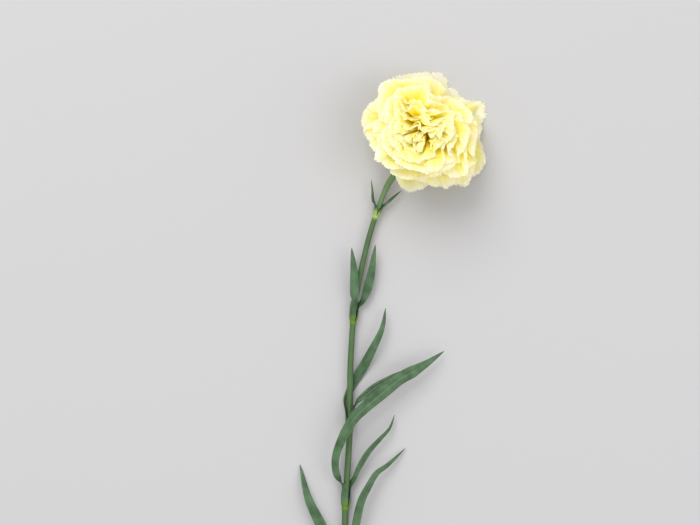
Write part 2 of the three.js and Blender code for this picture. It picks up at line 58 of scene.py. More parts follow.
neck_top = np.array([15.4, 140.0, 8.0])
neck_length = 12
neck_bend = neck_top - neck_length * head_direction(calyx_rise)
neck_bend[2] = 4.5  # still low, where the neck starts to rise
stem_points = [
    (-13, -200, 2.2), (-15.4, -156, 3.2), (-16.6, -112, 4.2), (-16, -64, 4.2), (-13.4, -17, 4.2),
    (-12.8, 26, 4.2), (-9.8, 62, 4.1), (-4.2, 90, 4.0), (2.2, 112.6, 4.1), neck_bend, neck_top,
]
joint_heights = np.array([112.6, 48.4, -17, -64, -112, -158])  # along Y, from the flower down
cut_radius = 2.2
top_radius = 1.6
neck_widening = 0.4  # what the radius gains again from the last joint up to the calyx
joint_swell = 0.2  # as a share of the radius beside the joint
joint_half_length = 2.4
sheath_inset = 0.1  # how much thinner the stem stays inside the leaves' sheaths, as a share
inset_ends = (0.5, 1.8, 14, 20)  # above the middle of a joint: it starts, is whole, and ends again
cut_slant = 0.7  # how far the cut slants for each millimetre across it
stem_sides = 28
stem_steps = 560


def path_at(points, shares):
    """Places and directions at shares of the length of a smooth path through the points, and that length."""
    points = np.array(points, float)
    ends = np.vstack([2 * points[0] - points[1], points, 2 * points[-1] - points[-2]])
    steps = np.linspace(0, 1, 60, endpoint=False)[:, None]
    spans = []
    for p0, p1, p2, p3 in zip(ends, ends[1:], ends[2:], ends[3:]):
        d0, d1, d2 = (math.sqrt(np.linalg.norm(b - a)) for a, b in ((p0, p1), (p1, p2), (p2, p3)))
        leave = ((p1 - p0) / d0 - (p2 - p0) / (d0 + d1) + (p2 - p1) / d1) * d1
        arrive = ((p2 - p1) / d1 - (p3 - p1) / (d1 + d2) + (p3 - p2) / d2) * d1
        square = steps ** 2 * (3 * (p2 - p1) - 2 * leave - arrive)
        spans.append(p1 + steps * leave + square + steps ** 3 * (2 * (p1 - p2) + leave + arrive))
    dense = np.vstack(spans + [points[-1:]])
    lengths = np.concatenate([[0], np.cumsum(np.linalg.norm(np.diff(dense, axis=0), axis=1))])
    way = np.gradient(dense, lengths, axis=0)
    wanted = np.asarray(shares, float) * lengths[-1]
    at, along = (np.stack([np.interp(wanted, lengths, v[:, i]) for i in range(3)], 1) for v in (dense, way))
    return at, along / np.linalg.norm(along, axis=1)[:, None], lengths[-1]


def unit(vectors):
    return vectors / np.linalg.norm(vectors, axis=-1, keepdims=True)


def ease(share):
    s = np.clip(share, 0, 1)
    return s * s * (3 - 2 * s)


def mix(a, b, share):
    return a + (b - a) * share


stem_shares = np.linspace(0, 1, stem_steps + 1)
stem_at, stem_along, stem_length = path_at(stem_points, stem_shares)
stem_right = unit(np.cross(stem_along, up))
stem_up = np.cross(stem_right, stem_along)
joint_shares = np.interp(joint_heights, stem_at[:, 1], stem_shares)


def swell_at(shares):
    """How swollen the stem is: 1 at the middle of a joint, 0 away from the joints."""
    off = np.abs(np.asarray(shares)[..., None] - joint_shares) * stem_length / joint_half_length
    return np.where(off < 1, np.cos(off * math.pi / 2) ** 2, 0).max(-1)


def stem_radius(shares):
    """It swells at each joint and stays a little thinner inside the sheaths above it."""
    starts, is_whole, fades, ends = inset_ends
    above = (np.asarray(shares)[..., None] - joint_shares) * stem_length
    inset = ease((above - starts) / (is_whole - starts)) * (1 - ease((above - fades) / (ends - fades)))
    on_neck = ease((np.asarray(shares) - joint_shares[0]) / (1 - joint_shares[0]))
    plain = mix(cut_radius, top_radius, np.asarray(shares)) + neck_widening * on_neck
    return plain * (1 + joint_swell * swell_at(shares)) * (1 - sheath_inset * inset.max(-1))


def start_mesh(name, points, lines, numbers):
    """Points in mm as a mesh in metres, joined by lines, with a named number or direction at each point."""
    mesh = bpy.data.meshes.new(name)
    mesh.from_pydata([tuple(p) for p in (np.asarray(points) + laid_at) * mm], lines, [])
    for label, values in numbers.items():
        values = np.asarray(values, np.float32)
        kind, field = ("FLOAT_VECTOR", "vector") if values.ndim == 2 else ("FLOAT", "value")
        mesh.attributes.new(label, kind, "POINT").data.foreach_set(field, values.ravel())
    return mesh


MATH, RANGE, VECTOR, NAMED = (
    "ShaderNodeMath", "ShaderNodeMapRange", "ShaderNodeVectorMath", "GeometryNodeInputNamedAttribute",
)


def add(tree, kind, inputs=(), **settings):
    """Adds a node with its settings. An input is a value, an output, or a node, meaning its first output."""
    node = tree.nodes.new(kind)
    for name, value in settings.items():
        setattr(node, name, value)
    for key, value in inputs.items() if isinstance(inputs, dict) else enumerate(inputs):
        if isinstance(value, bpy.types.Node):
            value = value.outputs[0]
        if isinstance(value, bpy.types.NodeSocket):
            tree.links.new(value, node.inputs[key])
        elif value is not None:
            node.inputs[key].default_value = value
    return node


def new_tree(name, sizes):
    """A Geometry Nodes tree that takes a start mesh and has a named input for each size."""
    tree = bpy.data.node_groups.new(name, "GeometryNodeTree")
    tree.interface.new_socket("Geometry", in_out="INPUT", socket_type="NodeSocketGeometry")
    tree.interface.new_socket("Geometry", in_out="OUTPUT", socket_type="NodeSocketGeometry")
    kinds = {float: "Float", int: "Int", Vector: "Vector", bpy.types.Material: "Material"}
    for label, value in sizes.items():
        tree.interface.new_socket(label, in_out="INPUT", socket_type="NodeSocket" + kinds[type(value)])
    return tree, add(tree, "NodeGroupInput").outputs


def grow(name, mesh, tree, sizes, thickness=0):
    """Runs the tree on the start mesh, with its inputs set, and returns what grew as a plain piece."""
    start = bpy.data.objects.new(name + "_start", mesh)
    bpy.context.scene.collection.objects.link(start)
    modifier = start.modifiers.new("grow", "NODES")
    modifier.node_group = tree
    for socket in tree.interface.items_tree:
        if socket.in_out == "INPUT" and socket.name in sizes:
            modifier[socket.identifier] = sizes[socket.name]
    if thickness:
        wall = start.modifiers.new("wall", "SOLIDIFY")
        wall.thickness = thickness
        wall.offset = 0
    grown = bpy.data.meshes.new_from_object(start.evaluated_get(bpy.context.evaluated_depsgraph_get()))
    start.modifiers.clear()
    bpy.data.objects.remove(start)
    piece = bpy.data.objects.new(name, grown)
    bpy.context.scene.collection.objects.link(piece)
    return piece


def colour(code):
    """An sRGB hex colour as a linear colour."""
    parts = [int(code[i:i + 2], 16) / 255 for i in (1, 3, 5)]
    return tuple(c / 12.92 if c <= 0.04045 else ((c + 0.055) / 1.055) ** 2.4 for c in parts) + (1,)


def new_material(name, **finish):
    """A material with one Principled shader, and its tree. The finish is the shader's own constant values."""
    material = bpy.data.materials.new(name)
    material.use_nodes = True
    shader = material.node_tree.nodes["Principled BSDF"]
    for label, value in finish.items():
        shader.inputs[label.replace("_", " ")].default_value = value
    return material, material.node_tree, shader


def set_stops(ramp, stops):
    """Gives a colour ramp its stops, each a place and a colour. The last colour holds to the ramp's end."""
    ramp.elements[1].color = colour(stops[-1][1])
    for place, code in stops[1:]:
        ramp.elements.new(place).color = colour(code)
    ramp.elements[0].color = colour(stops[0][1])


def joint_green(tree, place):
    """The yellow-green of the joints and sheaths' feet: deeper low on the stem, paler on its young top."""
    height = add(tree, "ShaderNodeSeparateXYZ", [place]).outputs["Y"]
    young = add(tree, RANGE, [height, 60 * mm, 110 * mm, 0.0, 1.0])
    shades = {0: young, 6: colour("#527200"), 7: colour("#8FA854")}
    return add(tree, "ShaderNodeMix", shades, data_type="RGBA").outputs[2]


# Plant skin under a thin wax, smooth as it grew: a soft broad gloss, and lengthwise lines as fine as hair.
skin_ior = 1.44
stem_skin, tree, shader = new_material("waxed stem skin", Roughness=0.52, IOR=skin_ior)
place = add(tree, "ShaderNodeTexCoord").outputs["Object"]
wax_patch = 9 * mm
line_gap = 0.45 * mm
patches = add(tree, "ShaderNodeTexNoise", {"Vector": place, "Scale": 1 / wax_patch, "Detail": 3.0})
lengthwise = add(tree, "ShaderNodeMapping", {"Vector": place, "Scale": (1, 0.03, 1)})
lines = add(tree, "ShaderNodeTexNoise", {"Vector": lengthwise, "Scale": 1 / line_gap, "Detail": 2.0})
lined = add(tree, RANGE, [lines, 0.3, 0.7, 0.0, 0.35])
height = add(tree, "ShaderNodeSeparateXYZ", [place]).outputs["Y"]
# Paler towards the neck: partly the young skin's own green, partly painted light that lifts the shade the
# bloom casts on it.
young_and_painted_light = add(tree, RANGE, [height, 108 * mm, 128 * mm, 0.0, 0.3])
at_joint = add(tree, "ShaderNodeAttribute", attribute_name="joint").outputs["Fac"]
green = colour("#2E4922")
for amount, shade in [
    (patches, colour("#507040")), (lined, colour("#253C17")), (young_and_painted_light, colour("#86A96E")),
    (at_joint, joint_green(tree, place)),
]:
    green = add(tree, "ShaderNodeMix", {0: amount, 6: green, 7: shade}, data_type="RGBA").outputs[2]
bump = add(tree, "ShaderNodeBump", {"Strength": 0.25, "Distance": 0.1 * mm, "Height": lines})
tree.links.new(green, shader.inputs["Base Color"])
tree.links.new(bump.outputs[0], shader.inputs["Normal"])

# The knife's cut: wet pale pith with a darker ring of vessels and the green skin round it.
cut_face, tree, shader = new_material("fresh cut pith", Roughness=0.4, IOR=skin_ior)
foot = Vector((stem_at[0] + laid_at) * mm)
place = add(tree, "ShaderNodeTexCoord").outputs["Object"]
reach = add(tree, VECTOR, [place, foot], operation="DISTANCE").outputs["Value"]
rings = add(tree, "ShaderNodeValToRGB", [add(tree, RANGE, [reach, 0.0, cut_radius * mm * 1.2, 0.0, 1.0])])
set_stops(rings.color_ramp, [(0.0, "#DCE3B4"), (0.55, "#D3DEA6"), (0.68, "#A5BE78"), (0.85, "#6E8C4C")])
tree.links.new(rings.outputs[0], shader.inputs["Base Color"])

stem_sizes = {
    "Sides": stem_sides, "Cut slant": cut_slant, "Foot": foot, "Foot right": Vector(stem_right[0]),
    "Foot along": Vector(stem_along[0]), "Cut fades over": 5 * mm, "Length": float(stem_length * mm),
    "Skin": stem_skin, "Cut": cut_face,
}
stem_tree, given = new_tree("stem tube", stem_sizes)
line = add(stem_tree, "GeometryNodeMeshToCurve", [given["Geometry"]])
ring = add(stem_tree, "GeometryNodeCurvePrimitiveCircle", {"Resolution": given["Sides"], "Radius": 1.0})
radius = add(stem_tree, NAMED, ["radius"], data_type="FLOAT")
tube = add(stem_tree, "GeometryNodeCurveToMesh", [line, ring, radius, True])
share = add(stem_tree, NAMED, ["share"], data_type="FLOAT")
from_foot = add(stem_tree, MATH, [share, given["Length"]], operation="MULTIPLY")
fade = add(stem_tree, RANGE, [from_foot, 0.0, given["Cut fades over"], 1.0, 0.0])
position = add(stem_tree, "GeometryNodeInputPosition")
out_from_foot = add(stem_tree, VECTOR, [position, given["Foot"]], operation="SUBTRACT")
sideways = add(stem_tree, VECTOR, [out_from_foot, given["Foot right"]], operation="DOT_PRODUCT")
slant = add(stem_tree, MATH, [sideways.outputs["Value"], given["Cut slant"]], operation="MULTIPLY")
slant = add(stem_tree, MATH, [slant, fade], operation="MULTIPLY")
shift = add(stem_tree, VECTOR, {0: given["Foot along"], "Scale": slant}, operation="SCALE")
cut = add(stem_tree, "GeometryNodeSetPosition", {"Geometry": tube, "Offset": shift})
smooth = add(stem_tree, "GeometryNodeSetShadeSmooth", [cut])
whole = add(stem_tree, "GeometryNodeRealizeInstances", [smooth])
skinned = add(stem_tree, "GeometryNodeSetMaterial", {"Geometry": whole, "Material": given["Skin"]})
facing = add(stem_tree, VECTOR, [add(stem_tree, "GeometryNodeInputNormal"), given["Foot along"]],
             operation="DOT_PRODUCT").outputs["Value"]
near_foot = add(stem_tree, MATH, [share, 0.01], operation="LESS_THAN")
backward = add(stem_tree, MATH, [facing, -0.6], operation="LESS_THAN")
is_cut = add(stem_tree, MATH, [near_foot, backward], operation="MULTIPLY")
ended = add(stem_tree, "GeometryNodeSetMaterial", [skinned, is_cut, given["Cut"]])
add(stem_tree, "NodeGroupOutput", [ended])

stem_line = start_mesh("stem_line", stem_at, [(k, k + 1) for k in range(stem_steps)], {
    "radius": stem_radius(stem_shares) * mm, "joint": swell_at(stem_shares), "share": stem_shares,
})
stem_tube = grow("stem_tube", stem_line, stem_tree, stem_sizes)
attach(stem_tube, "root")
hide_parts("stem")

# ================================================================ the leaves
# Narrow leaves in opposite pairs. Each grew as one blade: its foot wraps half of the stem as a sheath over
# the joint, then it opens into a channel with a keel below. Thick and waxy, and yellow-green at the foot.

gap = 0.3
leaf_thickness = 0.7
sheath_turn = math.radians(172)
blade_bend = math.radians(50)
sheath_start = 1.8  # how far above the middle of its joint a sheath clasps the stem
sheath_lip = 0.9  # how far below that its thin lower lip starts, over the swelling of the joint
lip_length = 3.0  # over this length the lip thickens
leaf_rows = 96
sheath_facet = math.radians(164) / 4 / 2

# Each leaf's joint, the side of the stem that it grows on (0 right, 90 up), its greatest width, the length of
# its sheath, how far its face turns from level at the tip, and the points that its middle line passes.
leaves = {
    "leaf_1_left": (1, 165, 1.9, 4, 35, [(0.7, 122, 5.0), (0.3, 128, 4.8), (-0.3, 134.8, 3.6)]),
    "leaf_1_right": (1, -15, 2.4, 5, -30, [(9.4, 120.6, 4.3), (13.4, 124.4, 3.4), (18.2, 128.4, 2.0)]),
    "leaf_2_left": (2, 145, 6.0, 8, 8, [(-10.9, 63, 8.3), (-10.5, 76, 9.4), (-12.2, 93.6, 8.0)]),
    "leaf_2_right": (2, -35, 6.0, 8, -10, [(-5.2, 61.4, 3.8), (-0.8, 76, 4.8), (2.2, 95.4, 5.8)]),
    "leaf_3_right": (3, 30, 4.6, 11, -10, [
        (-8.6, -0.6, 6.2), (-0.6, 7.6, 7.0), (11.4, 14.8, 5.8), (20, 18.6, 3.8), (27.5, 21, 1.6)]),
    "leaf_3_under": (3, 210, 6.4, 9, 6, [
        (-15.6, 1, 0.6), (-11.8, 10, 0.3), (-6.0, 20, 1.4), (0.8, 33, 5.8), (6.2, 45, 6.4), (8.4, 57, 4)]),
    "leaf_4_left": (4, 140, 7.8, 11, 10, [
        (-21, -45, 8.6), (-22, -34, 11.2), (-17.6, -20.6, 13.2), (-11, -9.4, 13.4), (-4.5, -2.7, 13.2),
        (7.2, 7, 12.6), (16.8, 14.8, 11.4), (25.8, 19.6, 9.8), (33.6, 24.1, 8), (43.8, 31, 5.4)]),
    "leaf_4_right": (4, -40, 3.8, 11, -14, [
        (-10.8, -47, 3.2), (-7.2, -38.6, 4.4), (-1.2, -29, 5.6), (5.4, -21.8, 6), (10.8, -15.8, 4.6),
        (13.8, -7.8, 2.2)]),
    "leaf_5_right": (5, 20, 5.4, 12, -18, [
        (-11.8, -90, 7.4), (-9.4, -72.8, 9), (-6.1, -59, 8.8), (-1.5, -50, 8.2), (3, -42.8, 7),
        (9.6, -38, 5), (20.4, -28.1, 1.2)]),
    "leaf_5_left": (5, 200, 7.0, 12, 16, [
        (-23.6, -91, 4.4), (-31, -74, 6.2), (-38.6, -58, 5.0), (-43.6, -38, 0.6)]),
}

# How some of them differ: the width above the sheath as a share of the greatest one, how far up it is that
# narrow in lengths of the sheath, how far past the sheath the leaf is widest, where its long point starts and
# how suddenly it narrows there, and whether its hollow face ends up (1) or down (-1).
leaf_forms = {
    "leaf_1_right": {"taper": 1.8},
    "leaf_2_left": {"hollow": -1},
    "leaf_2_right": {"waist": 0.6, "taper": 1.3},
    "leaf_3_under": {"waist": 0.6, "widest": 0.45},
    "leaf_4_left": {"waist": 0.55, "widest": 0.6, "shoulder": 0.82, "point": 0.7},
    "leaf_4_right": {"waist": 0.8, "taper": 1.6},
    "leaf_5_right": {"waist": 0.75, "taper": 1.4},
    "leaf_5_left": {"waist": 0.65, "taper": 1.4},
}


def leaf_line(name, joint, side, width, sheath, tilt, points,
              waist=0.85, taper=2.2, widest=0.35, shoulder=0.42, point=1.5, hollow=1):
    """A leaf's middle line, with the blade's directions and sizes at each point of it."""
    joint_share = joint_shares[joint - 1]
    turn = math.radians(side)
    inside = stem_radius(joint_share + sheath_start / stem_length) + gap
    outer = inside / math.cos(sheath_facet) + leaf_thickness
    on_stem = []
    for height in (-sheath_lip, 0, sheath / 2, sheath):
        k = joint_share + (sheath_start + height) / stem_length
        at, right, above = (np.array([np.interp(k, stem_shares, v[:, i]) for i in range(3)])
                            for v in (stem_at, stem_right, stem_up))
        on_stem.append(at + outer * (math.cos(turn) * right + math.sin(turn) * above))
    shares = np.linspace(0, 1, leaf_rows + 1) ** 1.15
    at, along, length = path_at(on_stem + points, shares)
    sheath_share = (sheath + sheath_lip) / length
    opened = ease((shares - sheath_share * 0.6) / (sheath_share * 1.8))[:, None]
    k = int(round(joint_share * stem_steps))
    towards_stem = -math.cos(turn) * stem_right[k] - math.sin(turn) * stem_up[k]
    face = mix(towards_stem, up * hollow, opened)
    angle = math.radians(tilt) * ease(shares)[:, None]
    aside = np.sum(along * face, 1, keepdims=True) * along
    face = face * np.cos(angle) + np.cross(along, face) * np.sin(angle) + aside * (1 - np.cos(angle))
    face = unit(face - np.sum(face * along, 1, keepdims=True) * along)
    opened = opened[:, 0]
    foot = mix(sheath_turn * outer, width * waist, ease(shares / (sheath_share * taper)))
    belly = mix(foot, width, ease((shares - sheath_share) / widest))
    past_shoulder = np.maximum(0, (shares - shoulder) / (1 - shoulder))
    widths = np.maximum(0.25, belly * np.maximum(0, 1 - past_shoulder ** point) ** 0.7)
    bend = np.minimum(widths / outer, mix(sheath_turn, blade_bend, opened))
    thick = leaf_thickness * mix(1, 0.8, shares)
    thinned = thick * (1 - np.sqrt(ease(shares * length / lip_length + 0.02)))
    thick = (thick - thinned) * np.sqrt(np.minimum(1, (1 - shares) / 0.1))
    return start_mesh(name + "_line", at + face * thinned[:, None], [(k, k + 1) for k in range(leaf_rows)], {
        "face": face, "across": np.cross(along, face), "radius": (widths / bend - thinned) * mm, "bend": bend,
        "thick": thick * mm, "share": shares, "opened": opened, "from_joint": shares * length,
    })


# The leaf's skin: a grey-green wax over deep green, with fine veins along the blade and a paler midrib.
leaf_skin, tree, shader = new_material("waxed leaf skin", Roughness=0.5, IOR=skin_ior)
place = add(tree, "ShaderNodeTexCoord").outputs["Object"]
from_midrib, share, from_joint = (
    add(tree, "ShaderNodeAttribute", attribute_name=label).outputs["Fac"]
    for label in ("side", "share", "from_joint")
)
veins_on_a_leaf = 22
leaf_patch = 7 * mm
vein_place = add(tree, "ShaderNodeCombineXYZ", [from_midrib, share])
vein_place = add(tree, "ShaderNodeMapping", {"Vector": vein_place, "Scale": (veins_on_a_leaf, 1.5, 1)})
veins = add(tree, "ShaderNodeTexNoise", {"Vector": vein_place, "Scale": 1.0, "Detail": 2.0})
patches = add(tree, "ShaderNodeTexNoise", {"Vector": place, "Scale": 1 / leaf_patch, "Detail": 3.0})
waxed = add(tree, RANGE, [patches, 0.35, 0.65, 0.0, 1.0])
streak = add(tree, RANGE, [veins, 0.35, 0.65, 0.0, 0.4])
off_midrib = add(tree, MATH, [from_midrib], operation="ABSOLUTE")
midrib = add(tree, RANGE, [off_midrib, 0.015, 0.06, 0.35, 0.0], interpolation_type="SMOOTHSTEP")
margin = add(tree, RANGE, [off_midrib, 0.46, 0.5, 0.0, 0.4])
at_foot = add(tree, RANGE, [from_joint, 0.5, 5.0, 0.85, 0.0], interpolation_type="SMOOTHSTEP")
green = colour("#2C4928")
for amount, shade in [
    (waxed, colour("#4B6C48")), (streak, colour("#223D1D")), (midrib, colour("#5F7F56")),
    (margin, colour("#6C8961")), (at_foot, joint_green(tree, place)),
]:
    green = add(tree, "ShaderNodeMix", {0: amount, 6: green, 7: shade}, data_type="RGBA").outputs[2]
bump = add(tree, "ShaderNodeBump", {"Strength": 0.3, "Distance": 0.12 * mm, "Height": veins})
tree.links.new(green, shader.inputs["Base Color"])
tree.links.new(bump.outputs[0], shader.inputs["Normal"])

# A closed skin of points round the blade at each row of the line: margin to margin below, and back above.
leaf_sizes = {
    "Rows": leaf_rows + 1, "Points round": 44, "Keel": 0.35 * mm, "Keel width": 0.09, "Skin": leaf_skin,
}
leaf_tree, given = new_tree("leaf blade", leaf_sizes)
points_round = add(leaf_tree, MATH, [given["Points round"], 1.0], operation="ADD")
grid = add(leaf_tree, "GeometryNodeMeshGrid", [1.0, 1.0, given["Rows"], points_round])
position = add(leaf_tree, "ShaderNodeSeparateXYZ", [add(leaf_tree, "GeometryNodeInputPosition")])
row = add(leaf_tree, MATH, [position.outputs["X"], 0.5], operation="ADD")
last_row = add(leaf_tree, MATH, [given["Rows"], 1.0], operation="SUBTRACT")
row = add(leaf_tree, MATH, [add(leaf_tree, MATH, [row, last_row], operation="MULTIPLY")], operation="ROUND")
turned = add(leaf_tree, MATH, [position.outputs["Y"], -2.0], operation="MULTIPLY")
turned = add(leaf_tree, MATH, [turned], operation="ABSOLUTE")
side = add(leaf_tree, MATH, [0.5, turned], operation="SUBTRACT")
is_above = add(leaf_tree, MATH, [position.outputs["Y"], 0.0], operation="GREATER_THAN")
found = {}
for label in ("radius", "bend", "thick", "share", "opened", "from_joint", "face", "across", "position"):
    kind = "FLOAT_VECTOR" if label in ("face", "across", "position") else "FLOAT"
    kept = add(leaf_tree, NAMED, [label], data_type=kind)
    found[label] = add(leaf_tree, "GeometryNodeSampleIndex", [given["Geometry"], kept, row], data_type=kind)
lens = add(leaf_tree, MATH, [side, 2.0], operation="MULTIPLY")
lens = add(leaf_tree, MATH, [add(leaf_tree, MATH, [lens], operation="ABSOLUTE"), 3.0], operation="POWER")
lens = add(leaf_tree, MATH, [1.0, lens], operation="SUBTRACT")
thick = add(leaf_tree, MATH, [found["thick"], lens], operation="MULTIPLY")
inset = add(leaf_tree, MATH, [thick, is_above], operation="MULTIPLY")
near_midrib = add(leaf_tree, MATH, [side], operation="ABSOLUTE")
ridge = add(leaf_tree, RANGE, [near_midrib, 0.0, given["Keel width"], 1.0, 0.0],
            interpolation_type="SMOOTHSTEP")
ridge = add(leaf_tree, MATH, [ridge, given["Keel"]], operation="MULTIPLY")
ridge = add(leaf_tree, MATH, [ridge, found["opened"]], operation="MULTIPLY")
ridge = add(leaf_tree, MATH, [ridge, add(leaf_tree, RANGE, [found["share"], 0.8, 1.0, 1.0, 0.0])],
            operation="MULTIPLY")
bowed = add(leaf_tree, MATH, [found["radius"], inset], operation="SUBTRACT")
bowed = add(leaf_tree, MATH, [bowed, ridge], operation="ADD")
angle = add(leaf_tree, MATH, [side, found["bend"]], operation="MULTIPLY")
cosine = add(leaf_tree, MATH, [angle], operation="COSINE")
sine = add(leaf_tree, MATH, [angle], operation="SINE")
low = add(leaf_tree, MATH, [bowed, cosine], operation="MULTIPLY")
rise = add(leaf_tree, MATH, [found["radius"], low], operation="SUBTRACT")
away = add(leaf_tree, MATH, [bowed, sine], operation="MULTIPLY")
point = add(leaf_tree, VECTOR, {0: found["face"], "Scale": rise}, operation="SCALE")
point = add(leaf_tree, VECTOR, [point, found["position"]], operation="ADD")
aside = add(leaf_tree, VECTOR, {0: found["across"], "Scale": away}, operation="SCALE")
point = add(leaf_tree, VECTOR, [point, aside], operation="ADD")
split = add(leaf_tree, "ShaderNodeSeparateXYZ", [point])
least = add(leaf_tree, MATH, [inset, 0.4], operation="MULTIPLY")
height = add(leaf_tree, MATH, [split.outputs["Z"], least], operation="MAXIMUM")
point = add(leaf_tree, "ShaderNodeCombineXYZ", [split.outputs["X"], split.outputs["Y"], height])
kept = grid
for label, value in [
    ("side", side), ("share", found["share"]), ("from_joint", found["from_joint"]), ("place", point),
]:
    kind = "FLOAT_VECTOR" if label == "place" else "FLOAT"
    kept = add(leaf_tree, "GeometryNodeStoreNamedAttribute", [kept, None, label, value], data_type=kind)
goal = add(leaf_tree, NAMED, ["place"], data_type="FLOAT_VECTOR")
blade = add(leaf_tree, "GeometryNodeSetPosition", {"Geometry": kept, "Position": goal})
blade = add(leaf_tree, "GeometryNodeMergeByDistance", {"Geometry": blade, "Distance": 0.002 * mm})
blade = add(leaf_tree, "GeometryNodeSetShadeSmooth", [blade])
blade = add(leaf_tree, "GeometryNodeRealizeInstances", [blade])
blade = add(leaf_tree, "GeometryNodeSetMaterial", {"Geometry": blade, "Material": given["Skin"]})
add(leaf_tree, "NodeGroupOutput", [blade])

for name, shape in leaves.items():
    line = leaf_line(name, *shape, **leaf_forms.get(name, {}))
    blade = grow(name + "_blade", line, leaf_tree, leaf_sizes)
    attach(blade, "root")
    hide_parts(name)

# ================================================================ the calyx
# The green tube that holds the petals' claws, grown together from five sepals whose tips stand as teeth. Firm
# and smooth as a thin rind, with fine lines along it, and waxed like the stem.

calyx_length = 27
calyx_base_radius = 3.4
calyx_belly_radius = 6.6
calyx_mouth_radius = 7.2
calyx_wall = 0.9
calyx_floor = 5
teeth = 5
tooth_length = 5
tooth_flare = 1.5
calyx_base = neck_top + head_direction(calyx_rise) * 2 * gap


def head_frame(rise):
    """The directions of the head: two across it and the third along its axis, as rows."""
    axis = head_direction(rise)
    first = unit(np.cross(axis, up))
    return np.array([first, np.cross(axis, first), axis])


def calyx_radius(height):
    share = height / calyx_length
    swell = np.sin(np.minimum(1, share * 1.9) * math.pi / 2)
    belly = mix(calyx_base_radius, calyx_belly_radius, swell)
    return mix(belly, calyx_mouth_radius, ease((share - 0.5) / 0.5))


def pointed_rim(turn_share, points, sharpness):
    """A rim's height round the axis: 0 in the notches, 1 at the points."""
    return np.abs((turn_share * points) % 1 - 0.5) ** sharpness * 2 ** sharpness


def lathe_piece(name, radii, heights, turns, axis_frame, base, material, numbers=None, is_hoop=False):
    """A closed skin over a grid of rows round an axis. The first and last row end in a cap, or meet."""
    rows, sides = radii.shape
    round_axis = turns * 2 * math.pi
    local = np.stack([radii * np.cos(round_axis), radii * np.sin(round_axis), heights], -1)
    points = (local @ axis_frame + base).reshape(-1, 3)
    faces = []
    for r in range(rows if is_hoop else rows - 1):
        low, high = r * sides, (r + 1) % rows * sides
        faces += [(low + k, low + (k + 1) % sides, high + (k + 1) % sides, high + k) for k in range(sides)]
    if not is_hoop:
        last = (rows - 1) * sides
        faces += [tuple(range(sides))[::-1], tuple(range(last, last + sides))]
    mesh = bpy.data.meshes.new(name)
    mesh.from_pydata([tuple(p) for p in (points + laid_at) * mm], [], faces)
    for label, values in (numbers or {}).items():
        values = np.asarray(values, np.float32).ravel()
        mesh.attributes.new(label, "FLOAT", "POINT").data.foreach_set("value", values)
    mesh.shade_smooth()
    mesh.materials.append(material)
    piece = bpy.data.objects.new(name, mesh)
    bpy.context.scene.collection.objects.link(piece)
    return piece


calyx_skin, tree, shader = new_material("waxed calyx rind", Roughness=0.48, IOR=skin_ior)
place = add(tree, "ShaderNodeTexCoord").outputs["Object"]
height, sepal = (
    add(tree, "ShaderNodeAttribute", attribute_name=label).outputs["Fac"] for label in ("height", "sepal")
)
patches = add(tree, "ShaderNodeTexNoise", {"Vector": place, "Scale": 1 / (5 * mm), "Detail": 3.0})
line_place = add(tree, "ShaderNodeCombineXYZ", [sepal, height])
line_place = add(tree, "ShaderNodeMapping", {"Vector": line_place, "Scale": (60, 1.2, 1)})
lines = add(tree, "ShaderNodeTexNoise", {"Vector": line_place, "Scale": 1.0, "Detail": 2.0})
lined = add(tree, RANGE, [lines, 0.35, 0.7, 0.0, 0.5])
tips = add(tree, RANGE, [height, 0.85, 1.15, 0.0, 0.7])
rind = colour("#6F9450")
for amount, code in [(patches, "#93B070"), (lined, "#557B3C"), (tips, "#B4C98B")]:
    rind = add(tree, "ShaderNodeMix", {0: amount, 6: rind, 7: colour(code)}, data_type="RGBA").outputs[2]
bump = add(tree, "ShaderNodeBump", {"Strength": 0.3, "Distance": 0.12 * mm, "Height": lines})
tree.links.new(rind, shader.inputs["Base Color"])
tree.links.new(bump.outputs[0], shader.inputs["Normal"])

calyx_sides = 150
outer_rows = 46
inner_rows = 36
teeth_start = 20
rib_height = 0.12
foot_rows = [(-0.5, 1.9), (-0.4, 2.5), (-0.1, 3.05)]  # heights and radii of the foot, round down to the stem
outer_heights = np.linspace(0, calyx_length, outer_rows)
inner_heights = np.linspace(calyx_length, calyx_floor, inner_rows)
row_heights = np.concatenate([outer_heights, inner_heights])[:, None]
insets = np.repeat([0, calyx_wall], [outer_rows, inner_rows])[:, None]
turns = np.broadcast_to(np.arange(calyx_sides) / calyx_sides, (outer_rows + inner_rows, calyx_sides))
tooth = pointed_rim(turns, teeth, 1.2) * ease((row_heights - teeth_start) / (calyx_length - teeth_start))
ribs = rib_height * np.cos(turns * 2 * math.pi * teeth * 2) * (insets == 0) * ease(row_heights / 6)
radii = calyx_radius(row_heights) + tooth_flare * tooth - insets + ribs
levels = row_heights + tooth_length * tooth
for row, (height, radius) in enumerate(foot_rows):
    levels[row] = height
    radii[row] = radius
calyx_tube = lathe_piece(
    "calyx_tube", radii, levels, turns, head_frame(calyx_rise), calyx_base, calyx_skin,
    {"height": levels / calyx_length, "sepal": turns},
)
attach(calyx_tube, "root")
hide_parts("calyx")

